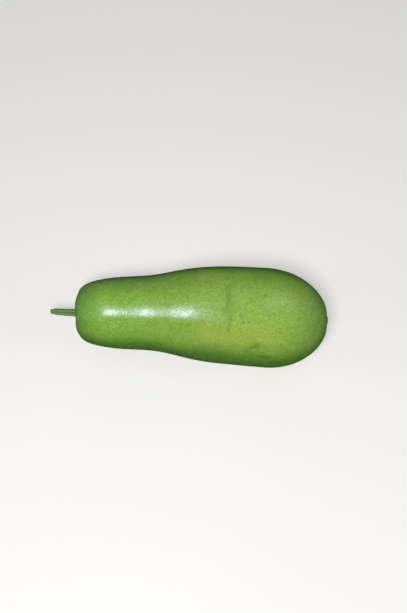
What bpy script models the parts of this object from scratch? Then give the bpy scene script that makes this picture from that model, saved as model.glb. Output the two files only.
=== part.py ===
"""A bottle gourd as picked, lying on its belly: the fruit, and the stub of stem that it hung from.

Both pieces are modelled as they hang on the vine, with the stem end up the Z axis of a shared empty. The
fruit is turned from its profile, then given its crook, ribs and uneven swelling by a formula. The empty lays
them down, with the stem towards -X, on the small flat that the fruit's weight and the ground gave its belly.
"""

import math

import bmesh
import bpy
from mathutils import Vector, noise

# The fruit's profile, in metres, measured from its stem end
FRUIT_LENGTH = 0.2560
NECK_RADIUS = 0.0385
BELLY_RADIUS = 0.0514
WAIST_PLACE = 0.0983
WAIST_SPREAD = 0.0224
STEM_END_RADIUS = 0.0170
SHOULDER_LENGTH = 0.1010
SHOULDER_SQUARENESS = 3.2
BLOSSOM_LENGTH = 0.0635
BLOSSOM_SQUARENESS = 2.0

# What the growing did to the turned shape
CROOK = 0.0093
CROOK_PLACE = 0.1830
CROOK_SPREAD = 0.0300
OVAL_SHARE = 0.008
SWELL_HEIGHT = 0.0010
SWELL_LENGTH = 0.055
LONG_RIB_COUNT = 10
LONG_RIB_HEIGHT = 0.00022
SHOULDER_RIB_COUNT = 5
SHOULDER_RIB_HEIGHT = 0.0007
SHOULDER_RIB_PLACE = 0.017
SHOULDER_RIB_WIDTH = 0.009

# The two ends
STEM_DIMPLE_DEPTH = 0.0026
STEM_DIMPLE_RADIUS = 0.0115
BLOSSOM_DIMPLE_DEPTH = 0.0014
BLOSSOM_DIMPLE_RADIUS = 0.0100
SCAR_RADIUS = 0.0038
SCAR_HEIGHT = 0.0011
SCAR_EDGE = 0.0008
SCAR_STEEPNESS = 4.0

# The stem
STEM_RADIUS = 0.0036
STEM_LENGTH = 0.0290
STEM_ROOT_DEPTH = 0.0060
STEM_FLARE = 1.75
STEM_FLARE_LENGTH = 0.0050
STEM_TAPER = 0.12
STEM_RIDGE_COUNT = 5
STEM_RIDGE_SHARE = 0.11
STEM_LEAN_UP = 0.0014
STEM_LEAN_BACK = 0.0008
STEM_CUT_SLANT = math.radians(52)
STEM_CUT_TURN = math.radians(152)

# How it lies, and the gap between the two solids
LYING_TILT = math.radians(5.2)
FLAT_DEPTH = 0.0010
GAP = 0.0003

# The two finishes
SKIN_COLOUR = (0.26, 0.41, 0.09)
SKIN_ROUGHNESS = 0.38
STEM_COLOUR = (0.17, 0.28, 0.09)
STEM_ROUGHNESS = 0.75

# How finely it is divided
OUTLINE_STEPS = 3000
FRUIT_SIDES = 60
FINEST_RING = 0.0011
RING_SHARE = 0.15
STEM_SIDES = 30
STEM_RINGS = 18
SHARP_ANGLE = math.radians(50)

# How close two points are before they merge, and how far the cutters reach past what they cut
SCREW_MERGE = 0.00005
CAP_WELD = 0.00001
CUTTER_REACH = 0.005
GROUND_THICKNESS = 0.02


def rounded(from_end, length, squareness):
    """A superellipse's share of the full radius: 0 at the end, and 1 from this length on."""
    inward = max(0.0, 1.0 - from_end / length)
    return (1.0 - inward**squareness) ** (1.0 / squareness)


def fruit_radius(from_stem):
    """The fruit's radius: a neck that swells into the belly along a growth curve, closed at both ends."""
    swelling = math.exp(-math.exp((WAIST_PLACE - from_stem) / WAIST_SPREAD))
    body = NECK_RADIUS + (BELLY_RADIUS - NECK_RADIUS) * swelling
    shoulder = rounded(from_stem, SHOULDER_LENGTH, SHOULDER_SQUARENESS)
    blossom = rounded(FRUIT_LENGTH - from_stem, BLOSSOM_LENGTH, BLOSSOM_SQUARENESS)
    return (STEM_END_RADIUS + (body - STEM_END_RADIUS) * shoulder) * blossom


def fruit_outline():
    """Half the fruit's outline in fine steps of (radius, height), over the stem end and down the side."""
    shares = [step / OUTLINE_STEPS for step in range(OUTLINE_STEPS)]
    outline = [Vector((STEM_END_RADIUS * share, FRUIT_LENGTH)) for share in shares]
    for share in shares:
        from_stem = FRUIT_LENGTH * (1.0 - math.cos(math.pi * share)) / 2
        outline.append(Vector((fruit_radius(from_stem), FRUIT_LENGTH - from_stem)))
    return outline


def fruit_profile():
    """The points of the outline that are kept, from pole to pole, closer together where it is narrow."""
    outline = fruit_outline()
    points = [outline[0]]
    walked = 0.0
    for last, point in zip(outline, outline[1:]):
        walked += (point - last).length / max(FINEST_RING, RING_SHARE * point.x)
        if walked >= 1.0:
            points.append(point)
            walked -= 1.0
    points.append(Vector((0.0, 0.0)))
    return points


def scar_height(radius):
    """The corky button that the flower left: level inside its radius, with a soft step down round it."""
    outside = (radius - SCAR_RADIUS) / SCAR_EDGE
    return SCAR_HEIGHT / (1.0 + math.exp(SCAR_STEEPNESS * outside))


def grown(point):
    """Where a point of the turned fruit ends up: its end hollows, ribs, swelling, oval section and crook."""
    radius = math.hypot(point.x, point.y)
    angle = math.atan2(point.y, point.x)
    from_stem = FRUIT_LENGTH - point.z
    along = Vector((0.0, 0.0, 1.0))
    outward = Vector((math.cos(angle), math.sin(angle), 0.0))
    moved = point.copy()

    if from_stem < FRUIT_LENGTH / 2:
        rib = math.exp(-(((radius - SHOULDER_RIB_PLACE) / SHOULDER_RIB_WIDTH) ** 2))
        moved += along * SHOULDER_RIB_HEIGHT * rib * math.cos(SHOULDER_RIB_COUNT * angle)
        moved -= along * STEM_DIMPLE_DEPTH * math.exp(-((radius / STEM_DIMPLE_RADIUS) ** 2))
    else:
        moved += along * BLOSSOM_DIMPLE_DEPTH * math.exp(-((radius / BLOSSOM_DIMPLE_RADIUS) ** 2))
        moved -= along * scar_height(radius)

    girth = radius / BELLY_RADIUS
    swell = SWELL_HEIGHT * noise.noise(point / SWELL_LENGTH)
    rib = LONG_RIB_HEIGHT * math.cos(LONG_RIB_COUNT * angle)
    moved += outward * girth * (swell + rib)
    moved.x *= 1.0 + OVAL_SHARE
    moved.y *= 1.0 - OVAL_SHARE

    moved.y -= CROOK / (1.0 + math.exp((CROOK_PLACE - from_stem) / CROOK_SPREAD))
    return moved


def collection_of(name):
    """A new collection in the scene."""
    collection = bpy.data.collections.new(name)
    bpy.context.scene.collection.children.link(collection)
    return collection


def material_of(name, colour, roughness):
    """A plain Principled material."""
    material = bpy.data.materials.new(name)
    material.use_nodes = True
    shader = material.node_tree.nodes["Principled BSDF"]
    shader.inputs["Base Color"].default_value = (*colour, 1.0)
    shader.inputs["Roughness"].default_value = roughness
    shader.inputs["Metallic"].default_value = 0.0
    return material


def mesh_from(maker, name):
    """The evaluated mesh of an object that only makes another, which is then removed."""
    bpy.context.view_layer.update()
    evaluated = maker.evaluated_get(bpy.context.evaluated_depsgraph_get())
    mesh = bpy.data.meshes.new_from_object(evaluated)
    mesh.name = name
    bpy.data.objects.remove(maker)
    return mesh


def make_fruit(collection, rest):
    """The fruit: its profile turned about Z, then each point moved to where it grew."""
    profile = bpy.data.meshes.new("fruit_profile")
    points = [(point.x, 0.0, point.y) for point in fruit_profile()]
    edges = [(index, index + 1) for index in range(len(points) - 1)]
    profile.from_pydata(points, edges, [])
    turned = bpy.data.objects.new("turned_fruit", profile)
    collection.objects.link(turned)
    screw = turned.modifiers.new("turn", "SCREW")
    screw.steps = screw.render_steps = FRUIT_SIDES
    screw.use_merge_vertices = True
    screw.merge_threshold = SCREW_MERGE
    mesh = mesh_from(turned, "fruit")
    for vertex in mesh.vertices:
        vertex.co = grown(vertex.co)
    mesh.shade_smooth()

    fruit = bpy.data.objects.new("fruit", mesh)
    fruit.parent = rest
    fruit.data.materials.clear()
    fruit.data.materials.append(material_of("gourd_skin", SKIN_COLOUR, SKIN_ROUGHNESS))
    collection.objects.link(fruit)
    return fruit


def ridged_section(collection):
    """The stem's cross-section, a circle with five soft ridges."""
    section = bpy.data.curves.new("stem_section", "CURVE")
    section.dimensions = "2D"
    spline = section.splines.new("POLY")
    spline.points.add(STEM_SIDES - 1)
    spline.use_cyclic_u = True
    for index, point in enumerate(spline.points):
        angle = 2 * math.pi * index / STEM_SIDES
        radius = STEM_RADIUS * (1.0 + STEM_RIDGE_SHARE * math.cos(STEM_RIDGE_COUNT * angle))
        point.co = (radius * math.cos(angle), radius * math.sin(angle), 0.0, 1.0)
    guide = bpy.data.objects.new("stem_section", section)
    guide.hide_render = True
    guide.display_type = "WIRE"
    collection.objects.link(guide)
    return guide


def stem_thickness(outside):
    """The stem's radius as a share of STEM_RADIUS, this far out of the fruit: flared at its foot, and
    a little thinner towards the cut."""
    foot = (STEM_FLARE - 1.0) * math.exp(-((outside / STEM_FLARE_LENGTH) ** 2))
    return 1.0 + foot - STEM_TAPER * outside / STEM_LENGTH


def stem_lean(outside):
    """How far the stem's middle has leant over, this far out of the fruit: upwards and back as it lies."""
    grown_share = (outside / STEM_LENGTH) ** 2
    return Vector((STEM_LEAN_UP, STEM_LEAN_BACK, 0.0)) * grown_share


def make_stem(collection, cutters, rest, foot_height):
    """The stem: the ridged section swept up from its root, leaning a little, and cut off aslant."""
    path = bpy.data.curves.new("stem_path", "CURVE")
    path.dimensions = "3D"
    path.bevel_mode = "OBJECT"
    path.bevel_object = ridged_section(cutters)
    path.use_fill_caps = True
    spline = path.splines.new("POLY")
    spline.points.add(STEM_RINGS - 1)
    beyond_cut = STEM_RADIUS * 2
    whole = STEM_ROOT_DEPTH + STEM_LENGTH + beyond_cut
    for index, point in enumerate(spline.points):
        height = whole * index / (STEM_RINGS - 1) - STEM_ROOT_DEPTH
        outside = max(0.0, height)
        middle = stem_lean(outside) + Vector((0.0, 0.0, foot_height + height))
        point.co = (*middle, 1.0)
        point.radius = stem_thickness(outside)
    swept = bpy.data.objects.new("swept_stem", path)
    collection.objects.link(swept)
    mesh = mesh_from(swept, "stem")

    across = Vector((math.cos(STEM_CUT_TURN), math.sin(STEM_CUT_TURN), 0.0))
    slanted = across * math.sin(STEM_CUT_SLANT) + Vector((0.0, 0.0, math.cos(STEM_CUT_SLANT)))
    shape = bmesh.new()
    shape.from_mesh(mesh)
    bmesh.ops.remove_doubles(shape, verts=shape.verts, dist=CAP_WELD)
    cut = bmesh.ops.bisect_plane(
        shape,
        geom=shape.verts[:] + shape.edges[:] + shape.faces[:],
        plane_co=stem_lean(STEM_LENGTH) + Vector((0.0, 0.0, foot_height + STEM_LENGTH)),
        plane_no=slanted,
        clear_outer=True,
    )
    rim = [part for part in cut["geom_cut"] if isinstance(part, bmesh.types.BMEdge)]
    bmesh.ops.contextual_create(shape, geom=rim)
    bmesh.ops.recalc_face_normals(shape, faces=shape.faces)
    shape.to_mesh(mesh)
    shape.free()
    mesh.set_sharp_from_angle(angle=SHARP_ANGLE)

    stem = bpy.data.objects.new("stem", mesh)
    stem.parent = rest
    stem.data.materials.clear()
    stem.data.materials.append(material_of("gourd_stem", STEM_COLOUR, STEM_ROUGHNESS))
    collection.objects.link(stem)
    return stem


def as_cutter(cutter, name, cutters, fruit):
    """Marks an object as a helper, and cuts it from the fruit."""
    for collection in cutter.users_collection:
        collection.objects.unlink(cutter)
    cutters.objects.link(cutter)
    cutter.name = name
    cutter.hide_render = True
    cutter.display_type = "WIRE"
    cut = fruit.modifiers.new(name, "BOOLEAN")
    cut.operation = "DIFFERENCE"
    cut.object = cutter


def cut_stem_socket(fruit, cutters, rest, foot_height):
    """The round socket that the stem's root fills, wider than the root by the gap."""
    radius = STEM_RADIUS * STEM_FLARE * (1.0 + STEM_RIDGE_SHARE) + GAP
    reach = STEM_DIMPLE_DEPTH + CUTTER_REACH
    depth = STEM_ROOT_DEPTH + GAP + reach
    bpy.ops.mesh.primitive_cylinder_add(
        vertices=FRUIT_SIDES,
        radius=radius,
        depth=depth,
        location=(0.0, 0.0, foot_height + reach - depth / 2),
    )
    socket = bpy.context.active_object
    socket.parent = rest
    as_cutter(socket, "stem_socket", cutters, fruit)


def cut_resting_flat(fruit, cutters):
    """The flat on the belly: everything under the surface that the fruit lies on is cut away."""
    bpy.ops.mesh.primitive_cube_add(size=1.0, location=(0.0, 0.0, -GROUND_THICKNESS / 2))
    ground = bpy.context.active_object
    ground.scale = (FRUIT_LENGTH, FRUIT_LENGTH, GROUND_THICKNESS)
    as_cutter(ground, "resting_surface", cutters, fruit)


def lay_down(rest, pieces):
    """Turns the empty so that the belly takes the weight, and puts the box's bottom centre at the origin."""
    rest.rotation_euler.y = -(math.pi / 2 + LYING_TILT)
    bpy.context.view_layer.update()
    corners = [piece.matrix_world @ vertex.co for piece in pieces for vertex in piece.data.vertices]
    low = [min(corner[axis] for corner in corners) for axis in range(3)]
    high = [max(corner[axis] for corner in corners) for axis in range(3)]
    rest.location = (-(low[0] + high[0]) / 2, -(low[1] + high[1]) / 2, -FLAT_DEPTH - low[2])
    bpy.context.view_layer.update()


def main():
    """Clears the scene and builds the gourd."""
    for old in list(bpy.data.objects):
        bpy.data.objects.remove(old)
    gourd = collection_of("bottle_gourd")
    cutters = collection_of("cutters")
    rest = bpy.data.objects.new("lying_gourd", None)
    gourd.objects.link(rest)

    foot_height = FRUIT_LENGTH - STEM_DIMPLE_DEPTH
    fruit = make_fruit(gourd, rest)
    stem = make_stem(gourd, cutters, rest, foot_height)
    lay_down(rest, (fruit, stem))
    cut_stem_socket(fruit, cutters, rest, foot_height)
    cut_resting_flat(fruit, cutters)


main()
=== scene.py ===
"""A bottle gourd as picked, lying on its belly on a pale studio floor.

The fruit and its stub of stem stand for the solids of the same names. Both are modelled as they hang on
the vine, with the stem end up the Z axis, and are then laid down where the solids lie. The fruit is turned
from its profile, grown into its crooked form by the same formula as its solid, and given the finer relief of
its skin. The stem is drawn up ring by ring, ridged, cut aslant and covered with down.
"""
import logging
import math
import random
from dataclasses import dataclass, field
from enum import Enum
from typing import Any

import bmesh
import bpy
from mathutils import Matrix, Vector, noise


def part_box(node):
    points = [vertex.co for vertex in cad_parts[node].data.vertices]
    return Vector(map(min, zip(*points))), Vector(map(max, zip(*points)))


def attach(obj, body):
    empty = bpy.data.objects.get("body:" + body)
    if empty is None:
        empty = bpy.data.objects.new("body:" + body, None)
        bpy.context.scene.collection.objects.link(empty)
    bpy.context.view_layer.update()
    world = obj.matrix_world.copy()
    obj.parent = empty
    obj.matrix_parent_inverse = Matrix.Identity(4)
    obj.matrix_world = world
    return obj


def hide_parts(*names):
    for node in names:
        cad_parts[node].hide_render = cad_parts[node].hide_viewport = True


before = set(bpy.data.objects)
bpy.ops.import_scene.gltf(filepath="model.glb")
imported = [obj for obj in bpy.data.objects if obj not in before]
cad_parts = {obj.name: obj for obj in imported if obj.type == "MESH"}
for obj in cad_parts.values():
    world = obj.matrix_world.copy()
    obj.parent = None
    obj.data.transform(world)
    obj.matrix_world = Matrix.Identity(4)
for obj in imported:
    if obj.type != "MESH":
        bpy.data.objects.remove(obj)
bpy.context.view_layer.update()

LOG = logging.getLogger("bottle_gourd")
BODY = "root"
VINE_PLACE = "on_the_vine"
CORK_CRACK = "cork_crack"
MIX_SHARE, MIX_FROM, MIX_TO, MIX_RESULT = 0, 6, 7, 2
FLATTEN = (1.0, 1.0, 0.0)
PHOTO_WIDTH, PHOTO_HEIGHT = 407, 613

Tree = bpy.types.NodeTree
Output = bpy.types.NodeSocket
Inputs = dict[str | int, Any]


class Slot(Enum):
    """The record's material slots."""

    SKIN = "skin"
    STEM = "stem"


class MarkKind(Enum):
    """What left a mark on the skin, or what light or shade is painted on it."""

    SUN_CHEEK = "sun cheek"
    # a pale patch painted on the belly: painted highlight, the glare of an overhead light
    BLOOM = "painted_glare"
    # a darker line along the girdle groove: painted shade in the groove
    RUB = "rub"
    SCRATCH = "scratch"
    SCUFF = "scuff"
    PRICK = "prick"


class LampUse(Enum):
    """What a lamp lights, as if it and the camera wore polarising filters."""

    SHADING = "shading"
    SHEEN = "sheen"


def linear(colour: str) -> tuple[float, float, float, float]:
    """Turns an sRGB hex colour into the linear one that a shader takes.

    Args:
        colour: Six hex digits.

    Returns:
        Linear red, green and blue, and an alpha of one.
    """
    shares = [int(colour[place:place + 2], 16) / 255 for place in (0, 2, 4)]
    red, green, blue = [
        share / 12.92 if share <= 0.04045 else ((share + 0.055) / 1.055) ** 2.4
        for share in shares
    ]
    return red, green, blue, 1.0


def per_metre(millimetres: float) -> float:
    """The pattern scale at which one feature is this many millimetres wide."""
    return 1000.0 / millimetres


def bell(distance: float, width: float) -> float:
    """A bell curve's height, from 1 in its middle to about a third at its width."""
    return math.exp(-((distance / width) ** 2))


def spoke(angle: float) -> Vector:
    """The way out from the vine's axis, at an angle round it."""
    return Vector((math.cos(angle), math.sin(angle), 0.0))


def feed(tree: Tree, node: bpy.types.Node, inputs: Inputs) -> None:
    """Links or sets a node's sockets.

    Args:
        tree: The node tree.
        node: The node.
        inputs: What its sockets take, by name or number: an output to link, or a constant.
    """
    for name, value in inputs.items():
        socket = node.inputs[name]
        if isinstance(value, Output):
            tree.links.new(value, socket)
        else:
            socket.default_value = value


def add_node(tree: Tree, kind: str, inputs: Inputs | None = None, **settings: Any) -> Any:
    """Adds one node.

    Args:
        tree: The node tree.
        kind: The node's type, as Blender names it after ShaderNode.
        inputs: What its sockets take.
        settings: Its own properties, by name.

    Returns:
        The new node's outputs.
    """
    node = tree.nodes.new("ShaderNode" + kind)
    for name, value in settings.items():
        setattr(node, name, value)
    feed(tree, node, inputs or {})
    return node.outputs


def new_material(name: str) -> tuple[bpy.types.Material, bpy.types.Node]:
    """Makes a node material.

    Args:
        name: Its name, after what the finish is.

    Returns:
        The material and its Principled shader.
    """
    material = bpy.data.materials.new(name)
    material.use_nodes = True
    return material, material.node_tree.nodes["Principled BSDF"]


def even_out(piece: bpy.types.Object, levels: int) -> None:
    """Subdivides a coarse cage smoothly, and applies it.

    Args:
        piece: The piece to subdivide.
        levels: How often each face is divided.
    """
    smoother = piece.modifiers.new("even_out", "SUBSURF")
    smoother.levels = levels
    smoother.render_levels = levels
    bpy.context.view_layer.objects.active = piece
    bpy.ops.object.modifier_apply(modifier=smoother.name)


def keep_vine_places(mesh: bpy.types.Mesh) -> None:
    """Stores where each point hangs on the vine, as the attribute that the materials' patterns follow.

    Args:
        mesh: The mesh of a piece that still hangs straight.
    """
    kept = mesh.attributes.new(VINE_PLACE, "FLOAT_VECTOR", "POINT")
    for vertex in mesh.vertices:
        kept.data[vertex.index].vector = vertex.co


@dataclass(frozen=True)
class Growth:
    """The form that the gourd grew into, in metres, with the same values and formula as its solid."""

    length: float = 0.2560
    neck_radius: float = 0.0385
    belly_radius: float = 0.0514
    waist_place: float = 0.0983
    waist_spread: float = 0.0224
    stem_end_radius: float = 0.0170
    shoulder_length: float = 0.1010
    shoulder_squareness: float = 3.2
    blossom_length: float = 0.0635
    blossom_squareness: float = 2.0
    crook: float = 0.0093
    crook_place: float = 0.1830
    crook_spread: float = 0.0300
    oval_share: float = 0.008
    swell_height: float = 0.0010
    swell_length: float = 0.055
    long_rib_count: int = 10
    long_rib_height: float = 0.00022
    shoulder_rib_count: int = 5
    shoulder_rib_height: float = 0.0007
    shoulder_rib_place: float = 0.017
    shoulder_rib_width: float = 0.009
    stem_dimple_depth: float = 0.0026
    stem_dimple_radius: float = 0.0115
    blossom_dimple_depth: float = 0.0014
    blossom_dimple_radius: float = 0.0100
    scar_radius: float = 0.0038
    scar_height: float = 0.0011
    scar_edge: float = 0.0008
    scar_steepness: float = 4.0

    @staticmethod
    def rounded(from_end: float, length: float, squareness: float) -> float:
        """A superellipse's share of the full radius: 0 at the rounded end, and 1 from its length on."""
        inward = max(0.0, 1.0 - from_end / length)
        return (1.0 - inward**squareness) ** (1.0 / squareness)

    def radius(self, from_stem: float) -> float:
        """The turned fruit's radius: a neck that swells into the belly, closed at both ends.

        Args:
            from_stem: The distance from the stem end.

        Returns:
            The radius there.
        """
        swelling = math.exp(-math.exp((self.waist_place - from_stem) / self.waist_spread))
        body = self.neck_radius + (self.belly_radius - self.neck_radius) * swelling
        shoulder = self.rounded(from_stem, self.shoulder_length, self.shoulder_squareness)
        blossom = self.rounded(self.length - from_stem, self.blossom_length, self.blossom_squareness)
        return (self.stem_end_radius + (body - self.stem_end_radius) * shoulder) * blossom

    def profile(self, ring_share: float, finest_ring: float) -> list[Vector]:
        """Half the fruit's outline, from pole to pole, with closer points where it is narrow.

        Args:
            ring_share: The distance between points, as a share of the radius there.
            finest_ring: The least distance between points.

        Returns:
            Points of radius and height.
        """
        steps = 3000
        outline = [Vector((self.stem_end_radius * step / steps, self.length)) for step in range(steps)]
        for step in range(steps):
            from_stem = self.length * (1.0 - math.cos(math.pi * step / steps)) / 2
            outline.append(Vector((self.radius(from_stem), self.length - from_stem)))
        points = [outline[0]]
        walked = 0.0
        for last, point in zip(outline, outline[1:]):
            walked += (point - last).length / max(finest_ring, ring_share * point.x)
            if walked >= 1.0:
                points.append(point)
                walked -= 1.0
        points.append(Vector((0.0, 0.0)))
        return points

    def grown(self, point: Vector) -> Vector:
        """Moves a point of the turned fruit to where it grew.

        Args:
            point: A point of the straight, turned fruit.

        Returns:
            The point with the end hollows, ribs, swelling, oval section and crook.
        """
        radius = math.hypot(point.x, point.y)
        angle = math.atan2(point.y, point.x)
        from_stem = self.length - point.z
        along = Vector((0.0, 0.0, 1.0))
        moved = point.copy()
        if from_stem < self.length / 2:
            rib = bell(radius - self.shoulder_rib_place, self.shoulder_rib_width)
            moved += along * self.shoulder_rib_height * rib * math.cos(self.shoulder_rib_count * angle)
            moved -= along * self.stem_dimple_depth * bell(radius, self.stem_dimple_radius)
        else:
            moved += along * self.blossom_dimple_depth * bell(radius, self.blossom_dimple_radius)
            moved -= along * self.scar_height * self.scar_share(radius)
        swell = self.swell_height * noise.noise(point / self.swell_length)
        rib = self.long_rib_height * math.cos(self.long_rib_count * angle)
        moved += spoke(angle) * (radius / self.belly_radius) * (swell + rib)
        moved.x *= 1.0 + self.oval_share
        moved.y *= 1.0 - self.oval_share
        moved.y -= self.crook / (1.0 + math.exp((self.crook_place - from_stem) / self.crook_spread))
        return moved

    def scar_share(self, radius: float) -> float:
        """How far the blossom scar's corky button rises: 1 on it, and 0 outside its edge."""
        outside = (radius - self.scar_radius) / self.scar_edge
        return 1.0 / (1.0 + math.exp(self.scar_steepness * outside))

    def place(self, from_stem: float, around: float) -> tuple[Vector, Vector]:
        """A place on the straight fruit's skin.

        Args:
            from_stem: The distance from the stem end, in metres.
            around: The angle round the fruit in degrees, 0 on top as it lies and -90 at the front.

        Returns:
            The place, and the way out of the skin there.
        """
        outward = spoke(math.radians(around))
        return outward * self.radius(from_stem) + Vector((0.0, 0.0, self.length - from_stem)), outward


@dataclass(frozen=True)
class LyingPlace:
    """Lays the vine's axis down, neck a little lower, with the stem towards -X."""

    tilt: float = math.radians(5.2)
    shift: Vector = field(default_factory=Vector)

    @property
    def turn(self) -> Matrix:
        """The turn from hanging to lying."""
        return Matrix.Rotation(-(math.pi / 2 + self.tilt), 3, "Y")

    def lie(self, point: Vector) -> Vector:
        """Where a point of the hanging gourd lies."""
        return self.turn @ point + self.shift

    def fitted(self, points: list[Vector]) -> "LyingPlace":
        """Fits the lying fruit to its solid's box: its blossom end, the middle of its width, and its top.

        Args:
            points: The hanging fruit's points.

        Returns:
            The same turn with the shift that fits.
        """
        low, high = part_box("fruit")
        turned = [self.turn @ point for point in points]
        sides = [point.y for point in turned]
        shift = Vector((
            high[0] - max(point.x for point in turned),
            (low[1] + high[1] - min(sides) - max(sides)) / 2,
            high[2] - max(point.z for point in turned),
        ))
        return LyingPlace(self.tilt, shift)


class Painting:
    """A material painted layer over layer, in patterns that follow where each point hung on the vine."""

    def __init__(self, name: str, ground: str) -> None:
        """Starts with one plain colour.

        Args:
            name: The material's name, after what the finish is.
            ground: The first layer's colour, as six hex digits.
        """
        self.material, self.shader = new_material(name)
        self.tree = self.material.node_tree
        self.vine = add_node(self.tree, "Attribute", attribute_name=VINE_PLACE)["Vector"]
        self.colour: Any = linear(ground)

    def lay(
        self,
        tint: str | Output,
        value: Output,
        none_at: float,
        full_at: float,
        most: float = 1.0,
        within: Output | None = None,
    ) -> None:
        """Lays one more colour over those so far, thinning out smoothly as a value changes.

        Args:
            tint: The colour, as six hex digits or as an output.
            value: What the layer follows.
            none_at: The value at which none of it shows.
            full_at: The value at which it shows most.
            most: The share that it covers there.
            within: A share of its own that thins it out further.
        """
        share = add_node(self.tree, "MapRange", {
            "Value": value,
            "From Min": none_at,
            "From Max": full_at,
            "To Max": most,
        }, interpolation_type="SMOOTHSTEP")[0]
        if within is not None:
            share = add_node(self.tree, "Math", {0: share, 1: within}, operation="MULTIPLY")[0]
        self.colour = add_node(self.tree, "Mix", {
            MIX_SHARE: share,
            MIX_FROM: self.colour,
            MIX_TO: linear(tint) if isinstance(tint, str) else tint,
        }, data_type="RGBA")[MIX_RESULT]

    def finished(self, roughness: float | Output, pattern: Output, depth: float) -> bpy.types.Material:
        """Gives the shader its colour, its roughness and its finest relief.

        Args:
            roughness: The roughness.
            pattern: The pattern that stands out of the surface.
            depth: How far it stands out, in metres.

        Returns:
            The material.
        """
        bent = add_node(self.tree, "Bump", {"Strength": 1.0, "Distance": depth, "Height": pattern})[0]
        feed(self.tree, self.shader, {"Base Color": self.colour, "Roughness": roughness, "Normal": bent})
        return self.material


@dataclass(frozen=True)
class SkinMark:
    """A mark on the skin: a round-ended stroke, or a round spot where its length is its width."""

    from_stem: float
    around: float
    length: float
    width: float
    turn: float = 0.0

    def distance(self, tree: Tree, places: Output, growth: Growth) -> Output:
        """Measures how far the skin's points are from the mark's middle line.

        Args:
            tree: The material's node tree.
            places: The vine places of the points.
            growth: The fruit's form, which says where the mark lies.

        Returns:
            The distance in half widths of the mark, so 1 at its edge.
        """
        centre, outward = growth.place(self.from_stem, self.around)
        along = Vector((0.0, 0.0, 1.0))
        turn = math.radians(self.turn)
        stroke = along * math.cos(turn) + outward.cross(along) * math.sin(turn)
        axes = Matrix((stroke, outward.cross(stroke), outward)).transposed()
        own = add_node(tree, "Mapping", {
            "Vector": places,
            "Location": centre,
            "Rotation": axes.to_euler(),
            "Scale": (self.width / 2,) * 3,
        }, vector_type="TEXTURE")[0]
        folded = add_node(tree, "VectorMath", {0: own}, operation="ABSOLUTE")[0]
        line_end = (self.length / self.width - 1.0, 0.0, 0.0)
        past = add_node(tree, "VectorMath", {0: folded, 1: line_end}, operation="SUBTRACT")[0]
        outside = add_node(tree, "VectorMath", {0: past}, operation="MAXIMUM")[0]
        return add_node(tree, "VectorMath", {0: outside}, operation="LENGTH")["Value"]


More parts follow.
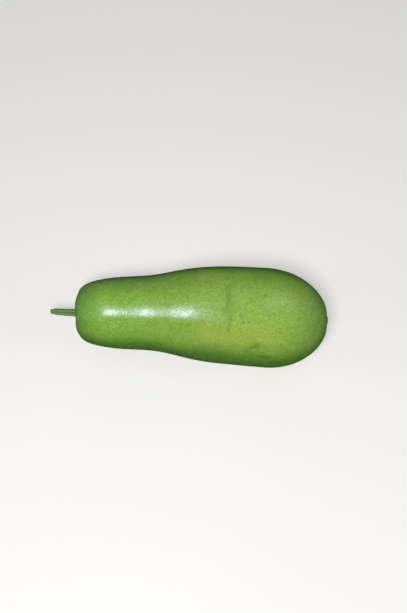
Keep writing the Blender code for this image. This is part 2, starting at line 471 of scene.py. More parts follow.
@dataclass(frozen=True)
class GourdSkin:
    """The living skin of a young bottle gourd, grown smooth under a thin, powdery coat of wax.

    The wax gives a broken, satin sheen. Under it the green is mottled, flecked and faintly streaked
    lengthwise, yellower where the sun reached it, and rubbed and pricked where it was handled. Painted shade
    darkens its flanks, deepens the darker green of its shoulder and the dull green of its blossom end, and
    lays a line along the girdle; a painted fill light pales its underside, and a painted highlight pales a
    patch on the belly.
    """

    neck_green: str = "86B044"
    belly_green: str = "8AA845"
    # painted shade: the darker green of the flanks
    painted_flank_shade: str = "4E8324"
    # painted fill light: the paler green of the underside
    painted_underside_fill: str = "86AE52"
    # the shoulder's darker green, deepened as painted shade at the stem end's rim
    shoulder_green_and_shade: str = "50832B"
    deep_green: str = "5E8A34"
    cheek: str = "AAB44A"
    # painted highlight: the pale, bluish glare on the belly
    painted_glare: str = "8FAA6C"
    fleck: str = "B4CC84"
    speck: str = "4C742B"
    bruise: str = "55752F"
    # the blossom end's duller green, darkened as painted shade at its rim
    blossom_green_and_shade: str = "6F8A4E"
    cork: str = "9A8A5B"
    crack: str = "54432A"
    cloud_width: float = 45.0
    clouds_along: float = -0.060
    clouds_around: float = 0.6
    # the angle round the fruit, in degrees, of the side that the painted shade and fill are lit from
    painted_light_side: float = -22.5
    streak_length: float = 90.0
    streak_noise: tuple[float, float] = (0.42, 0.72)
    mottle_noise: tuple[float, float] = (0.44, 0.70)
    fleck_shortness: float = 0.75
    fleck_core: float = 0.35
    wax_ior: float = 1.45
    rub_width: float = 5.0
    rub_noise: tuple[float, float] = (0.30, 0.70)
    smoothest: float = 0.17
    roughest: float = 0.32
    dullness: float = 0.32
    bright_level: float = 0.5
    dull_level: float = 0.17
    downy_from: float = 0.038
    downy_to: float = 0.023
    bloomy_from: float = 0.118
    bloomy_to: float = 0.164
    pebble_width: float = 1.8
    pebble_height: float = 0.00013

    def marks(self) -> dict[MarkKind, tuple[SkinMark, ...]]:
        """Places the marks that handling and weather left, with a painted glare and painted shade at the
        girdle.

        Returns:
            The marks of each kind.
        """
        return {
            MarkKind.SUN_CHEEK: (
                SkinMark(0.168, -51.0, 0.110, 0.046),
                SkinMark(0.156, -55.0, 0.072, 0.034),
            ),
            # painted highlight: the glare of an overhead light on the belly
            MarkKind.BLOOM: (SkinMark(0.2060, -10.0, 0.040, 0.028, 20.0),),
            # painted shade along the girdle groove
            MarkKind.RUB: (
                SkinMark(0.1590, -9.0, 0.040, 0.0130, 90.0),
                SkinMark(0.1600, -34.0, 0.030, 0.0080, 84.0),
            ),
            MarkKind.SCUFF: (
                SkinMark(0.186, -61.0, 0.012, 0.0095, 12.0),
                SkinMark(0.181, -64.0, 0.006, 0.0050, 30.0),
                SkinMark(0.192, -77.0, 0.016, 0.0090, -8.0),
            ),
            MarkKind.SCRATCH: (
                SkinMark(0.1582, -14.0, 0.0125, 0.0011, 72.0),
                SkinMark(0.1652, -24.3, 0.0115, 0.0011, 38.0),
                SkinMark(0.1625, -15.5, 0.0080, 0.0009, 118.0),
            ),
            MarkKind.PRICK: (
                SkinMark(0.1703, -28.0, 0.0036, 0.0028),
                SkinMark(0.1736, -34.8, 0.0032, 0.0030),
                SkinMark(0.1786, -34.4, 0.0034, 0.0024, 80.0),
                SkinMark(0.1946, -2.8, 0.0030, 0.0028),
                SkinMark(0.2120, -26.5, 0.0026, 0.0024),
                SkinMark(0.2084, -43.8, 0.0032, 0.0030),
            ),
        }

    def material(self, growth: Growth) -> bpy.types.Material:
        """Makes the skin.

        Args:
            growth: The fruit's form.

        Returns:
            The material.
        """
        paint = Painting("waxy_gourd_skin", self.neck_green)
        height = add_node(paint.tree, "SeparateXYZ", {0: paint.vine})["Z"]
        self.paint_ground(paint, growth, height)
        self.paint_mottle(paint)
        self.paint_marks(paint, growth)
        self.paint_scar(paint, growth)
        dulled = self.dulled(paint.tree, growth, height)
        level = add_node(paint.tree, "MapRange", {
            "Value": dulled,
            "To Min": self.bright_level,
            "To Max": self.dull_level,
        })[0]
        feed(paint.tree, paint.shader, {"IOR": self.wax_ior, "Specular IOR Level": level})
        pebbles = add_node(paint.tree, "TexNoise", {
            "Vector": paint.vine,
            "Scale": per_metre(self.pebble_width),
            "Detail": 2.0,
            "Roughness": 0.5,
        })["Fac"]
        return paint.finished(self.sheen(paint, dulled), pebbles, self.pebble_height)

    def paint_ground(self, paint: Painting, growth: Growth, height: Output) -> None:
        """Paints broad tones: a yellower belly, painted shade on the flanks and ends, painted fill below.

        Args:
            paint: The skin so far.
            growth: The fruit's form.
            height: The points' height on the vine.
        """
        clouds = add_node(paint.tree, "TexNoise", {
            "Vector": paint.vine,
            "Scale": per_metre(self.cloud_width),
            "Detail": 3.0,
            "Roughness": 0.5,
        })["Fac"]
        flat = add_node(paint.tree, "VectorMath", {0: paint.vine, 1: FLATTEN}, operation="MULTIPLY")[0]
        around = add_node(paint.tree, "VectorMath", {0: flat}, operation="NORMALIZE")[0]
        # painted shade and fill: the flanks darken and the underside pales by how each point faces this side
        painted_light_way = spoke(math.radians(self.painted_light_side))
        facing_painted_light = add_node(paint.tree, "VectorMath", {0: around, 1: painted_light_way}, operation="DOT_PRODUCT")["Value"]
        drifting, wavering_painted_light = [
            add_node(paint.tree, "Math", {0: clouds, 1: push, 2: value}, operation="MULTIPLY_ADD")[0]
            for push, value in ((self.clouds_along, height), (self.clouds_around, facing_painted_light))
        ]
        for tint, value, none_at, full_at, most in (
            (self.belly_green, drifting, growth.length - 0.075, growth.length - 0.165, 1.0),
            # painted shade: the flanks darken as they turn away from the painted light side
            (self.painted_flank_shade, wavering_painted_light, 1.20, 0.64, 0.96),
            # painted fill light: the underside, in the lamps' shade, is made paler
            (self.painted_underside_fill, wavering_painted_light, 0.12, -0.50, 0.65),
            # the shoulder's darker green, deepened as painted shade at the stem end's rim
            (self.shoulder_green_and_shade, height, growth.length - 0.036, growth.length, 0.85),
            # the blossom end's duller green, darkened as painted shade at its rim
            (self.blossom_green_and_shade, height, 0.040, 0.004, 0.80),
        ):
            paint.lay(tint, value, none_at, full_at, most)
        self.paint_streaks(paint, around, height)

    def paint_streaks(self, paint: Painting, around: Output, height: Output) -> None:
        """Paints the faint streaks from end to end, closer and stronger towards the blossom end.

        Args:
            paint: The skin so far.
            around: The points' way out from the vine's axis, as a unit vector.
            height: Their height on the vine.
        """
        everywhere = -1.0
        for count, none_at, full_at, strength in (
            (46, everywhere, everywhere + 0.1, 0.13),
            (110, 0.050, 0.006, 0.45),
        ):
            spread = add_node(paint.tree, "VectorMath", {
                0: around,
                "Scale": count / math.tau,
            }, operation="SCALE")[0]
            drawn_out = add_node(paint.tree, "VectorMath", {
                0: paint.vine,
                1: (0.0, 0.0, per_metre(self.streak_length)),
                2: spread,
            }, operation="MULTIPLY_ADD")[0]
            lines = add_node(paint.tree, "TexNoise", {
                "Vector": drawn_out,
                "Scale": 1.0,
                "Detail": 3.0,
                "Roughness": 0.6,
            })["Fac"]
            reach = add_node(paint.tree, "MapRange", {
                "Value": height,
                "From Min": none_at,
                "From Max": full_at,
            }, interpolation_type="SMOOTHSTEP")[0]
            paint.lay(self.deep_green, lines, *self.streak_noise, strength, reach)

    def paint_mottle(self, paint: Painting) -> None:
        """Paints the fine mottling, the pale flecks drawn out lengthwise, and the sparse dark specks.

        Args:
            paint: The skin so far.
        """
        for width, strength in ((7.0, 0.24), (2.6, 0.50), (1.6, 0.72)):
            grain = add_node(paint.tree, "TexNoise", {
                "Vector": paint.vine,
                "Scale": per_metre(width),
                "Detail": 2.0,
                "Roughness": 0.6,
            })["Fac"]
            paint.lay(self.deep_green, grain, *self.mottle_noise, strength)
        drawn_out = add_node(paint.tree, "VectorMath", {
            0: paint.vine,
            1: (1.0, 1.0, self.fleck_shortness),
        }, operation="MULTIPLY")[0]
        for spacing, dot_share, kept_above, tint, strength in (
            (4.6, 0.40, 0.30, self.fleck, 0.12),
            (2.4, 0.50, 0.55, self.fleck, 0.15),
            (7.0, 0.13, 0.55, self.speck, 0.50),
        ):
            cells = add_node(paint.tree, "TexVoronoi", {"Vector": drawn_out, "Scale": per_metre(spacing)})
            chance = add_node(paint.tree, "SeparateColor", {0: cells["Color"]})[0]
            kept = add_node(paint.tree, "Math", {0: chance, 1: kept_above}, operation="GREATER_THAN")[0]
            paint.lay(tint, cells["Distance"], dot_share, dot_share * self.fleck_core, strength, kept)

    def paint_marks(self, paint: Painting, growth: Growth) -> None:
        """Paints the sunned cheek, painted glare, painted girdle shade and handling marks, with uneven edges.

        Args:
            paint: The skin so far.
            growth: The fruit's form.
        """
        tree = paint.tree
        marks = self.marks()
        for kind, tint, strength, core, ragged_width, raggedness in (
            (MarkKind.SUN_CHEEK, self.cheek, 0.50, -0.6, 16.0, 0.022),
            # painted highlight: a pale glare on the belly
            (MarkKind.BLOOM, self.painted_glare, 0.45, -0.5, 6.0, 0.010),
            # painted shade along the girdle groove
            (MarkKind.RUB, self.deep_green, 0.80, -0.3, 3.5, 0.0065),
            (MarkKind.SCUFF, self.bruise, 0.80, -0.1, 3.0, 0.0050),
            (MarkKind.SCRATCH, self.bruise, 0.55, 0.0, 2.0, 0.0016),
            (MarkKind.PRICK, self.bruise, 0.90, 0.2, 1.5, 0.0010),
        ):
            wander = add_node(tree, "TexNoise", {
                "Vector": paint.vine,
                "Scale": per_metre(ragged_width),
                "Detail": 2.0,
            })["Color"]
            centred = add_node(tree, "VectorMath", {0: wander, 1: (0.5,) * 3}, operation="SUBTRACT")[0]
            places = add_node(tree, "VectorMath", {
                0: centred,
                1: (raggedness,) * 3,
                2: paint.vine,
            }, operation="MULTIPLY_ADD")[0]
            nearest, *others = [mark.distance(tree, places, growth) for mark in marks[kind]]
            for other in others:
                nearest = add_node(tree, "Math", {0: nearest, 1: other}, operation="MINIMUM")[0]
            paint.lay(tint, nearest, 1.0, core, strength)

    def paint_scar(self, paint: Painting, growth: Growth) -> None:
        """Turns the blossom scar to cork, dark in its cracks.

        Args:
            paint: The skin so far.
            growth: The fruit's form.
        """
        from_scar = add_node(paint.tree, "VectorMath", {0: paint.vine}, operation="LENGTH")["Value"]
        cork = add_node(paint.tree, "Mix", {
            MIX_SHARE: add_node(paint.tree, "Attribute", attribute_name=CORK_CRACK)["Fac"],
            MIX_FROM: linear(self.cork),
            MIX_TO: linear(self.crack),
        }, data_type="RGBA")[MIX_RESULT]
        paint.lay(cork, from_scar, growth.scar_radius + 2.0 * growth.scar_edge, growth.scar_radius)

    def dulled(self, tree: Tree, growth: Growth, height: Output) -> Output:
        """Says where the skin is dull: downy by the stem, and under a powdery wax on the belly.

        Args:
            tree: The material's node tree.
            growth: The fruit's form.
            height: The points' height on the vine.

        Returns:
            1 at both ends, and 0 on the polished neck.
        """
        downy, bloomy = [
            add_node(tree, "MapRange", {
                "Value": height,
                "From Min": growth.length - clear_at,
                "From Max": growth.length - dull_at,
            }, interpolation_type="SMOOTHSTEP")[0]
            for clear_at, dull_at in ((self.downy_from, self.downy_to), (self.bloomy_from, self.bloomy_to))
        ]
        return add_node(tree, "Math", {0: downy, 1: bloomy}, operation="ADD")[0]

    def sheen(self, paint: Painting, dulled: Output) -> Output:
        """Gives the wax its roughness, broken up where it was rubbed.

        Args:
            paint: The skin.
            dulled: Where it is dull.

        Returns:
            The roughness.
        """
        rubbed = add_node(paint.tree, "TexNoise", {
            "Vector": paint.vine,
            "Scale": per_metre(self.rub_width),
            "Detail": 4.0,
            "Roughness": 0.75,
        })["Fac"]
        polished = add_node(paint.tree, "MapRange", {
            "Value": rubbed,
            "From Min": self.rub_noise[0],
            "From Max": self.rub_noise[1],
            "To Min": self.smoothest,
            "To Max": self.roughest,
        })[0]
        return add_node(paint.tree, "Math", {
            0: dulled,
            1: self.dullness,
            2: polished,
        }, operation="MULTIPLY_ADD")[0]


@dataclass(frozen=True)
class StemRind:
    """The stem's green rind, grown in tough fibre: matt, paler on the ridges and dull in the grooves."""

    ridge: str = "6C9444"
    groove: str = "48702C"
    dry: str = "687A3C"
    roughness: float = 0.72
    fibre_width: float = 0.5
    fibre_shortness: float = 0.06
    fibre_share: float = 2.4
    fibre_height: float = 0.00008
    groove_wave: float = 0.4
    ridge_wave: float = 2.2
    green_below_cut: float = 0.009
    dry_above_cut: float = 0.002
    dryness: float = 0.50

    def material(self, ridge_count: int, cut_height: float) -> bpy.types.Material:
        """Makes the rind.

        Args:
            ridge_count: How many ridges run along the stem.
            cut_height: The height at which the stem was cut.

        Returns:
            The material.
        """
        paint = Painting("fibrous_stem_rind", self.groove)
        tree = paint.tree
        places = add_node(tree, "SeparateXYZ", {0: paint.vine})
        angle = add_node(tree, "Math", {0: places["Y"], 1: places["X"]}, operation="ARCTAN2")[0]
        phase = add_node(tree, "Math", {0: angle, 1: float(ridge_count)}, operation="MULTIPLY")[0]
        wave = add_node(tree, "Math", {0: phase}, operation="COSINE")[0]
        drawn_out = add_node(tree, "VectorMath", {
            0: paint.vine,
            1: (1.0, 1.0, self.fibre_shortness),
        }, operation="MULTIPLY")[0]
        fibres = add_node(tree, "TexNoise", {
            "Vector": drawn_out,
            "Scale": per_metre(self.fibre_width),
            "Detail": 3.0,
        })["Fac"]
        uneven = add_node(tree, "Math", {
            0: fibres,
            1: self.fibre_share,
            2: wave,
        }, operation="MULTIPLY_ADD")[0]
        paint.lay(self.ridge, uneven, self.groove_wave, self.ridge_wave)
        green_to = cut_height - self.green_below_cut
        paint.lay(self.dry, places["Z"], green_to, cut_height + self.dry_above_cut, self.dryness)
        return paint.finished(self.roughness, fibres, self.fibre_height)


@dataclass(frozen=True)
class CutFlesh:
    """The stem's cut face, sliced and dried a little: pale flesh, darker bundles and a browned edge."""

    flesh: str = "C3C795"
    bundle: str = "8F9A5A"
    browned: str = "7A6A42"
    roughness: float = 0.60
    bundle_spacing: float = 0.9
    bundle_edge: float = 0.45
    bundle_core: float = 0.15
    bundle_strength: float = 0.8
    brown_from: float = 0.72
    brownness: float = 0.85
    cell_height: float = 0.00010

    def material(self, stem_radius: float) -> bpy.types.Material:
        """Makes the cut face.

        Args:
            stem_radius: The stem's radius.

        Returns:
            The material.
        """
        paint = Painting("sliced_stem_flesh", self.flesh)
        tree = paint.tree
        flat = add_node(tree, "VectorMath", {0: paint.vine, 1: FLATTEN}, operation="MULTIPLY")[0]
        from_axis = add_node(tree, "VectorMath", {0: flat}, operation="LENGTH")["Value"]
        cells = add_node(tree, "TexVoronoi", {
            "Vector": flat,
            "Scale": per_metre(self.bundle_spacing),
        })["Distance"]
        paint.lay(self.bundle, cells, self.bundle_edge, self.bundle_core, self.bundle_strength)
        paint.lay(self.browned, from_axis, stem_radius * self.brown_from, stem_radius, self.brownness)
        return paint.finished(self.roughness, cells, self.cell_height)


@dataclass(frozen=True)
class DownHair:
    """Plant hair, pale and dull with a silky side light."""

    hair: str = "8FA26A"
    tip: str = "BBC498"
    roughness: float = 0.55
    patch_width: float = 2.0

    def material(self) -> bpy.types.Material:
        """Makes the hair, paler in soft patches.

        Returns:
            The material.
        """
        material, shader = new_material("silky_plant_hair")
        tree = material.node_tree
        patches = add_node(tree, "TexNoise", {
            "Vector": add_node(tree, "TexCoord")["Object"],
            "Scale": per_metre(self.patch_width),
        })["Fac"]
        colour = add_node(tree, "Mix", {
            MIX_SHARE: patches,
            MIX_FROM: linear(self.hair),
            MIX_TO: linear(self.tip),
        }, data_type="RGBA")[MIX_RESULT]
        feed(tree, shader, {"Base Color": colour, "Roughness": self.roughness})
        return material


@dataclass(frozen=True)
class StudioFloor:
    """Matt rolled paper, plain and pale, with a glow of its own that keeps it even."""

    paper: str = "B5B4B1"
    light: str = "FFFDF8"
    roughness: float = 0.9
    glow: float = 0.42

    def material(self) -> bpy.types.Material:
        """Makes the paper.

        Returns:
            The material.
        """
        material, shader = new_material("matt_paper_floor")
        feed(material.node_tree, shader, {
            "Base Color": linear(self.paper),
            "Roughness": self.roughness,
            "Emission Color": linear(self.light),
            "Emission Strength": self.glow,
        })
        return material


@dataclass
class Fruit:
    """The whole fruit: neck, waist, belly, the puckered shoulder round the stem, and the blossom scar."""

    growth: Growth
    skin: GourdSkin = field(default_factory=GourdSkin)
    sides: int = 60
    levels: int = 2
    ring_share: float = 0.13
    finest_ring: float = 0.0011
    weld_distance: float = 0.00001
    dent_height: float = 0.00005
    dent_length: float = 0.016
    pebble_height: float = 0.00002
    pebble_length: float = 0.0055
    girdle_depth: float = 0.00012
    girdle_place: float = 0.158
    girdle_width: float = 0.0045
    girdle_side: float = math.radians(-25)
    girdle_evenness: float = 0.6
    pucker_count: int = 20
    pucker_height: float = 0.00022
    pucker_place: float = 0.0105
    pucker_width: float = 0.0045
    pucker_wander: float = 2.0
    pucker_wander_scale: float = 1.5
    crack_depth: float = 0.00030
    crack_spacing: float = 0.0016
    crack_width: float = 0.22
    contact_rounding: float = 0.0004

    def turn_profile(self) -> bpy.types.Object:
        """Draws the profile point by point from the stem end down, and spins it round the vine's axis.

        Returns:
            The straight fruit.
        """
        points = self.growth.profile(self.ring_share, self.finest_ring)
        bpy.ops.object.select_all(action="DESELECT")
        bpy.ops.mesh.primitive_plane_add(size=self.finest_ring, location=(0.0, 0.0, self.growth.length))
        bpy.ops.object.transform_apply(location=True, rotation=False, scale=False)
        fruit = bpy.context.active_object
        bpy.ops.object.mode_set(mode="EDIT")
        bpy.ops.mesh.merge(type="CENTER")
        for last, point in zip(points, points[1:]):
            step = (point.x - last.x, 0.0, point.y - last.y)
            bpy.ops.mesh.extrude_region_move(TRANSFORM_OT_translate={"value": step})
        bpy.ops.mesh.select_all(action="SELECT")
        bpy.ops.mesh.spin(steps=self.sides, angle=math.tau, center=(0.0, 0.0, 0.0), axis=(0.0, 0.0, 1.0))
        bpy.ops.mesh.select_all(action="SELECT")
        bpy.ops.mesh.remove_doubles(threshold=self.weld_distance)
        bpy.ops.mesh.normals_make_consistent(inside=False)
        bpy.ops.object.mode_set(mode="OBJECT")
        return fruit

    def crack(self, point: Vector) -> float:
        """How deep a crack of the corky scar is at a point of the straight fruit.

        Args:
            point: The point.

        Returns:
            1 in the middle of a crack, and 0 away from it and off the scar.
        """
        radius = math.hypot(point.x, point.y)
        if point.z > self.growth.length / 2 or radius > 2 * self.growth.scar_radius:
            return 0.0
        distances, _ = noise.voronoi(Vector((point.x, point.y, 0.0)) / self.crack_spacing)
        edge = (distances[1] - distances[0]) / self.crack_width
        return self.growth.scar_share(radius) * max(0.0, 1.0 - edge)

    def relief(self, point: Vector) -> float:
        """How far the skin stands out of the grown form.

        Args:
            point: A point of the straight fruit.

        Returns:
            The height of the soft dents, the pebbling, the faint girdle where the belly starts, the puckers
            round the stem's foot and the cracks in the scar.
        """
        radius = math.hypot(point.x, point.y)
        angle = math.atan2(point.y, point.x)
        from_stem = self.growth.length - point.z
        girth = radius / self.growth.belly_radius
        height = girth * self.dent_height * noise.noise(point / self.dent_length)
        height += girth * self.pebble_height * noise.noise(point / self.pebble_length)
        girdle = bell(from_stem - self.girdle_place, self.girdle_width)
        uneven = self.girdle_evenness + (1.0 - self.girdle_evenness) * math.cos(angle - self.girdle_side)
        height -= self.girdle_depth * girdle * uneven
        if from_stem < self.growth.length / 2:
            ring = bell(radius - self.pucker_place, self.pucker_width)
            wander = self.pucker_wander * noise.noise(spoke(angle) * self.pucker_wander_scale)
            phase = self.pucker_count * angle + wander
            height += self.pucker_height * ring * math.cos(phase)
        return height - self.crack_depth * self.crack(point)

    def build(self) -> tuple[bpy.types.Object, LyingPlace]:
        """Builds, grows, lays down and dresses the fruit.

        Returns:
            The fruit, and the place that the stem shares.
        """
        fruit = self.turn_profile()
        fruit.name = "gourd_fruit"
        even_out(fruit, self.levels)
        mesh = fruit.data
        keep_vine_places(mesh)
        straight = [vertex.co.copy() for vertex in mesh.vertices]
        cracks = mesh.attributes.new(CORK_CRACK, "FLOAT", "POINT")
        for vertex in mesh.vertices:
            cracks.data[vertex.index].value = self.crack(vertex.co)
            vertex.co = self.growth.grown(vertex.co)
        lying = LyingPlace().fitted([vertex.co.copy() for vertex in mesh.vertices])
        mesh.update()
        normals = [vertex.normal.copy() for vertex in mesh.vertices]
        for vertex, point, normal in zip(mesh.vertices, straight, normals):
            vertex.co = self.settled(lying.lie(vertex.co + normal * self.relief(point)))
        mesh.update()
        mesh.shade_smooth()
        mesh.materials.append(self.skin.material(self.growth))
        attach(fruit, BODY)
        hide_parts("fruit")
        LOG.info("%s: %d faces", fruit.name, len(mesh.polygons))
        return fruit, lying

    def settled(self, point: Vector) -> Vector:
        """Flattens the belly where it lies, with a soft edge to the flat."""
        height = (point.z + math.hypot(point.z, self.contact_rounding)) / 2
        return Vector((point.x, point.y, height))


@dataclass
class Stem:
    """The stub of stem: a flared foot, five soft ridges, a slight lean, and a slanting cut with its pith."""

    growth: Growth
    lying: LyingPlace
    rind: StemRind = field(default_factory=StemRind)
    flesh: CutFlesh = field(default_factory=CutFlesh)
    radius: float = 0.0036
    length: float = 0.0290
    root_depth: float = 0.0060
    flare: float = 1.75
    flare_length: float = 0.0050
    taper: float = 0.12
    ridge_count: int = 5
    ridge_share: float = 0.11
    stria_count: int = 25
    stria_share: float = 0.012
    lean_up: float = 0.0014
    lean_back: float = 0.0008
    cut_slant: float = math.radians(52)
    cut_turn: float = math.radians(152)
    sides: int = 40
    rings: int = 18
    levels: int = 2
    rind_share: float = 0.88
    shrunk_share: float = 0.93
    shrink_depth: float = 0.00025
    pith_share: float = 0.45
    hollow_share: float = 0.80
    bottom_share: float = 0.50
    pith_depth: float = 0.0010
    crease: float = math.radians(35)

    @property
    def foot_height(self) -> float:
        """The height of the stem's foot, in the middle of the fruit's end hollow."""
        return self.growth.length - self.growth.stem_dimple_depth

    @property
    def cut_normal(self) -> Vector:
        """The way that the cut face looks."""
        return spoke(self.cut_turn) * math.sin(self.cut_slant) + Vector((0.0, 0.0, math.cos(self.cut_slant)))

    @property
    def cut_place(self) -> Vector:
        """The middle of the cut."""
        return self.leaning(self.length) + Vector((0.0, 0.0, self.foot_height + self.length))

    def thickness(self, outside: float) -> float:
        """The stem's share of its plain radius, this far out: more at the foot, a little less at the cut."""
        foot = (self.flare - 1.0) * bell(outside, self.flare_length)
        return 1.0 + foot - self.taper * outside / self.length

    def leaning(self, outside: float) -> Vector:
        """How far the stem's middle has leant over, this far out of the fruit."""
        return Vector((self.lean_up, self.lean_back, 0.0)) * (outside / self.length) ** 2

    def draw_up(self) -> bpy.types.Object:
        """Extrudes a filled circle ring by ring from its root past the cut, each ring as wide as it grew.

        Returns:
            The straight stem.
        """
        beyond_cut = self.radius * 2
        whole = self.root_depth + self.length + beyond_cut
        heights = [whole * ring / (self.rings - 1) - self.root_depth for ring in range(self.rings)]
        bpy.ops.object.select_all(action="DESELECT")
        bpy.ops.mesh.primitive_circle_add(
            vertices=self.sides,
            radius=self.radius * self.thickness(0.0),
            fill_type="NGON",
            location=(0.0, 0.0, self.foot_height + heights[0]),
        )
        bpy.ops.object.transform_apply(location=True, rotation=False, scale=False)
        stem = bpy.context.active_object
        bpy.ops.object.mode_set(mode="EDIT")
        bpy.ops.mesh.select_all(action="SELECT")
        for last, height in zip(heights, heights[1:]):
            bpy.ops.mesh.extrude_region_move(TRANSFORM_OT_translate={"value": (0.0, 0.0, height - last)})
            growing = self.thickness(max(0.0, height)) / self.thickness(max(0.0, last))
            centre = (0.0, 0.0, self.foot_height + height)
            bpy.ops.transform.resize(value=(growing, growing, 1.0), center_override=centre)
        bpy.ops.mesh.select_all(action="SELECT")
        bpy.ops.mesh.normals_make_consistent(inside=False)
        bpy.ops.object.mode_set(mode="OBJECT")
        return stem

    def ridge_share_at(self, angle: float) -> float:
        """How far the ridges and the fine striae stand out at an angle, as a share of the radius."""
        ridges = self.ridge_share * math.cos(self.ridge_count * angle)
        return ridges + self.stria_share * math.cos(self.stria_count * angle)

    def leant(self, point: Vector) -> Vector:
        """Moves a point of the straight, round stem to where it grew.

        Args:
            point: The point.

        Returns:
            The point on the ridged and leaning stem.
        """
        outside = max(0.0, point.z - self.foot_height)
        share = 1.0 + self.ridge_share_at(math.atan2(point.y, point.x))
        return Vector((point.x * share, point.y * share, point.z)) + self.leaning(outside)

    def cut(self, stem: bpy.types.Object) -> None:
        """Slices the stem off aslant, and sinks the flesh and the pith into the cut.

        Args:
            stem: The grown stem, still upright.
        """
        bpy.ops.object.select_all(action="DESELECT")
        stem.select_set(True)
        bpy.context.view_layer.objects.active = stem
        bpy.ops.object.mode_set(mode="EDIT")
        bpy.ops.mesh.select_all(action="SELECT")
        bpy.ops.mesh.bisect(
            plane_co=self.cut_place,
            plane_no=self.cut_normal,
            use_fill=True,
            clear_outer=True,
        )
        bpy.ops.object.mode_set(mode="OBJECT")
        nearly_square = 0.999
        nearly_level = 0.00005
        for face in stem.data.polygons:
            square = face.normal.dot(self.cut_normal) > nearly_square
            level = abs((face.center - self.cut_place).dot(self.cut_normal)) < nearly_level
            face.select = square and level
            face.material_index = int(face.select)
        for part in (*stem.data.vertices, *stem.data.edges):
            part.select = False
        bpy.ops.object.mode_set(mode="EDIT")
        bpy.ops.mesh.select_mode(type="FACE")
        rind = self.step_in(self.cut_place, self.rind_share)
        flesh = self.step_in(rind, self.shrunk_share, self.shrink_depth)
        pith = self.step_in(flesh, self.pith_share)
        hollow = self.step_in(pith, self.hollow_share, self.pith_depth)
        self.step_in(hollow, self.bottom_share, self.pith_depth / 2)
        bpy.ops.mesh.poke()
        bpy.ops.object.mode_set(mode="OBJECT")

    def step_in(self, centre: Vector, share: float, sinking: float = 0.0) -> Vector:
        """Draws a smaller copy of the selected face into the cut.

        Args:
            centre: The selected face's middle.
            share: The copy's size as a share of the face's.
            sinking: How far the copy lies below the face.

        Returns:
            The copy's middle.
        """
        step = -self.cut_normal * sinking
        bpy.ops.mesh.extrude_region_move(TRANSFORM_OT_translate={"value": step})
        bpy.ops.transform.resize(value=(share, share, share), center_override=centre + step)
        return centre + step

    def build(self) -> bpy.types.Object:
        """Builds, lays down and dresses the stem.

        Returns:
            The stem.
        """
        stem = self.draw_up()
        stem.name = "gourd_stem"
        even_out(stem, self.levels)
        stem.data.materials.append(self.rind.material(self.ridge_count, self.foot_height + self.length))
        stem.data.materials.append(self.flesh.material(self.radius))
        keep_vine_places(stem.data)
        for vertex in stem.data.vertices:
            vertex.co = self.leant(vertex.co)
        stem.data.update()
        self.cut(stem)
        for vertex in stem.data.vertices:
            vertex.co = self.lying.lie(vertex.co)
        stem.data.update()
        bpy.ops.object.shade_smooth_by_angle(angle=self.crease)
        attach(stem, BODY)
        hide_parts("stem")
        LOG.info("%s: %d faces", stem.name, len(stem.data.polygons))
        return stem


@dataclass
class StemDown:
    """The down on the stem: short hairs that stand out of its rind, each a slim three-sided cone."""

    stem: Stem
    finish: DownHair = field(default_factory=DownHair)
    count: int = 1400
    shortest: float = 0.0008
    longest: float = 0.0016
    root_radius: float = 0.00005
    sunk: float = 0.0001
    bending: float = 0.5
    least_outward: float = 0.35
    bare_foot: float = 0.0015
    seed: int = 11

    def model_hair(self) -> bpy.types.Object:
        """Models one hair of unit length, its root at the origin.

        Returns:
            The hair.
        """
        bpy.ops.object.select_all(action="DESELECT")
        slimness = self.root_radius / self.longest
        bpy.ops.mesh.primitive_cone_add(vertices=3, radius1=slimness, depth=1.0, location=(0.0, 0.0, 0.5))
        bpy.ops.object.transform_apply(location=True, rotation=False, scale=False)
        return bpy.context.active_object

    def rooting(self, draw: random.Random) -> Matrix | None:
        """Draws where one hair stands on the lying stem.

        Args:
            draw: The seeded source of random numbers.

        Returns:
            The hair's place, turn and length, or nothing where the stem is cut away.
        """
        stem = self.stem
        outside = draw.uniform(self.bare_foot, stem.length + stem.radius)
        angle = draw.uniform(0.0, math.tau)
        length = draw.uniform(self.shortest, self.longest)
        outward = spoke(angle)
        bend = Vector((draw.gauss(0.0, 1.0), draw.gauss(0.0, 1.0), draw.gauss(0.0, 1.0))) * self.bending
        way = (outward + bend).normalized()
        if way.dot(outward) < self.least_outward:
            way = outward
        radius = stem.radius * stem.thickness(outside)
        root = stem.leant(outward * radius + Vector((0.0, 0.0, stem.foot_height + outside)))
        if (root - stem.cut_place).dot(stem.cut_normal) > -self.sunk:
            return None
        root -= outward * self.sunk
        turn = stem.lying.turn @ way.to_track_quat("Z", "Y").to_matrix()
        size = Vector((length, length, length))
        return Matrix.LocRotScale(stem.lying.lie(root), turn.to_quaternion(), size)

    def build(self) -> bpy.types.Object:
        """Copies the hair over the stem, and dresses the down.

        Returns:
            The down, as one piece.
        """
        hair = self.model_hair()
        draw = random.Random(self.seed)
        gathered = bmesh.new()
        for _ in range(self.count):
            place = self.rooting(draw)
            if place is None:
                continue
            copy = hair.data.copy()
            copy.transform(place)
            gathered.from_mesh(copy)
            bpy.data.meshes.remove(copy)
        gathered.to_mesh(hair.data)
        gathered.free()
        hair.name = "stem_down"
        hair.data.shade_smooth()
        hair.data.materials.append(self.finish.material())
        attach(hair, BODY)
        LOG.info("%s: %d faces", hair.name, len(hair.data.polygons))
        return hair


@dataclass(frozen=True)
class Lamp:
    """A soft lamp, placed by its angles to the left of the camera and up from it, in degrees.

    Its own height and width are in metres, and its tint is an sRGB hex colour.
    """

    name: str
    left: float
    raised: float
    distance: float
    width: float
    height: float
    watts: float
    draws: LampUse
    tint: str = "FFFFFF"


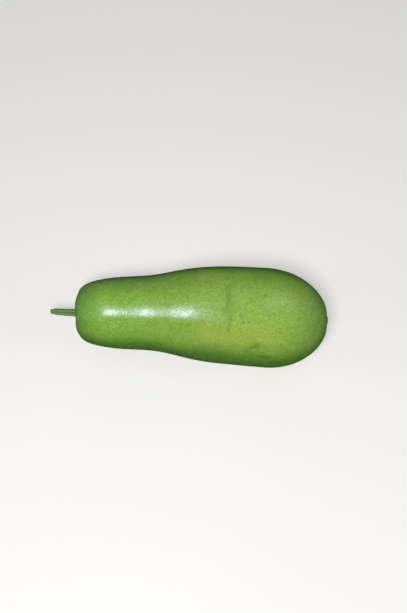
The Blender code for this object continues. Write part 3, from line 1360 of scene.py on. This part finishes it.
@dataclass
class Studio:
    """The pale floor, the soft light, and the camera that looks down on the gourd as the photograph does."""

    floor: StudioFloor = field(default_factory=StudioFloor)
    floor_width: float = 12.0
    view_azimuth: float = math.radians(2.65)
    view_elevation: float = math.radians(62)
    view_distance: float = 0.85
    aim_height: float = 0.05
    aim_right: float = 0.01720
    aim_up: float = 0.00904
    focal_pixels: float = 830.55
    sensor_width: float = 36.0
    ambient: float = 0.06
    backdrop: float = 0.50
    clip_start: float = 0.01
    window_tint: str = "E2E1FF"

    def lamps(self) -> tuple[Lamp, ...]:
        """Lists one lamp by the camera for shading, three for the sheen, and fills at the ends and back.

        Returns:
            The lamps.
        """
        return (
            Lamp("shading", 4.0, -3.3, 1.10, 0.30, 0.30, 12.0, LampUse.SHADING),
            Lamp("streak", 31.5, 3.0, 2.20, 0.40, 0.86, 30.5, LampUse.SHEEN, self.window_tint),
            Lamp("streak_core", 30.5, 6.5, 2.20, 0.36, 0.22, 4.5, LampUse.SHEEN, self.window_tint),
            Lamp("patch", -26.0, 34.0, 2.00, 0.80, 0.80, 30.0, LampUse.SHEEN, self.window_tint),
            Lamp("stem_side", 66.0, 0.0, 2.00, 0.90, 0.90, 5.0, LampUse.SHADING),
            Lamp("blossom_side", -66.0, 0.0, 2.00, 0.90, 0.90, 7.0, LampUse.SHADING),
            Lamp("behind", -15.0, 102.0, 3.00, 2.00, 1.00, 10.5, LampUse.SHADING),
        )

    @property
    def back(self) -> Vector:
        """The way from the gourd to the camera."""
        azimuth, flat = self.view_azimuth, math.cos(self.view_elevation)
        return Vector((math.sin(azimuth) * flat, -math.cos(azimuth) * flat, math.sin(self.view_elevation)))

    @property
    def right(self) -> Vector:
        """The way to the right of the picture."""
        return Vector((math.cos(self.view_azimuth), math.sin(self.view_azimuth), 0.0))

    @property
    def up(self) -> Vector:
        """The way up the picture."""
        return self.back.cross(self.right)

    def lay_floor(self) -> None:
        """Lays the floor, which throws no light back up, as the dark gaps of a heap throw none."""
        bpy.ops.object.select_all(action="DESELECT")
        bpy.ops.mesh.primitive_plane_add(size=self.floor_width)
        floor = bpy.context.active_object
        floor.name = "studio_floor"
        floor.data.materials.append(self.floor.material())
        floor.visible_diffuse = False
        floor.visible_glossy = False

    def hang(self, lamp: Lamp) -> None:
        """Hangs a soft lamp that shines on the gourd.

        Args:
            lamp: The lamp.
        """
        left = math.radians(lamp.left)
        raised = math.radians(lamp.raised)
        level = self.back * math.cos(left) - self.right * math.sin(left)
        way = level * math.cos(raised) + self.up * math.sin(raised)
        across = self.up.cross(way).normalized()
        turn = Matrix((across, way.cross(across), way)).transposed()
        panel = bpy.data.lights.new(lamp.name, "AREA")
        panel.shape = "ELLIPSE"
        panel.size = lamp.width
        panel.size_y = lamp.height
        panel.energy = lamp.watts
        panel.color = linear(lamp.tint)[:3]
        light = bpy.data.objects.new(lamp.name, panel)
        place = way * lamp.distance + Vector((0.0, 0.0, self.aim_height))
        light.matrix_world = Matrix.Translation(place) @ turn.to_4x4()
        light.visible_diffuse = lamp.draws is LampUse.SHADING
        light.visible_glossy = lamp.draws is LampUse.SHEEN
        light.visible_camera = False
        bpy.context.scene.collection.objects.link(light)

    def light_up(self) -> None:
        """Hangs the lamps, and an even sky that is dim but for the camera."""
        for lamp in self.lamps():
            self.hang(lamp)
        world = bpy.data.worlds.new("even_sky")
        world.use_nodes = True
        tree = world.node_tree
        sky = tree.nodes["Background"]
        feed(tree, sky, {
            "Color": linear("FFFFFF"),
            "Strength": add_node(tree, "MapRange", {
                "Value": add_node(tree, "LightPath")["Is Camera Ray"],
                "To Min": self.ambient,
                "To Max": self.backdrop,
            })[0],
        })
        bpy.context.scene.world = world
        bpy.context.scene.view_settings.view_transform = "Standard"

    def set_camera(self) -> None:
        """Sets the camera at the photograph's viewing angle, with its long side upright."""
        lens = bpy.data.cameras.new("photo_view")
        lens.sensor_width = self.sensor_width
        lens.lens = self.focal_pixels * self.sensor_width / max(PHOTO_WIDTH, PHOTO_HEIGHT)
        lens.clip_start = self.clip_start
        camera = bpy.data.objects.new("photo_view", lens)
        aim = Vector((0.0, 0.0, self.aim_height)) + self.right * self.aim_right + self.up * self.aim_up
        turn = Matrix((self.right, self.up, self.back)).transposed()
        camera.matrix_world = Matrix.Translation(aim + self.back * self.view_distance) @ turn.to_4x4()
        bpy.context.scene.collection.objects.link(camera)
        bpy.context.scene.camera = camera

    def build(self) -> None:
        """Sets up the floor, the lights and the camera."""
        self.lay_floor()
        self.light_up()
        self.set_camera()
        LOG.info("studio: floor, lights and camera")


def main() -> None:
    """Builds the gourd and its studio."""
    logging.basicConfig(level=logging.INFO, format="%(name)s: %(message)s")
    growth = Growth()
    _, lying = Fruit(growth).build()
    stem = Stem(growth, lying)
    stem.build()
    StemDown(stem).build()
    Studio().build()


if __name__ == "__main__":
    main()
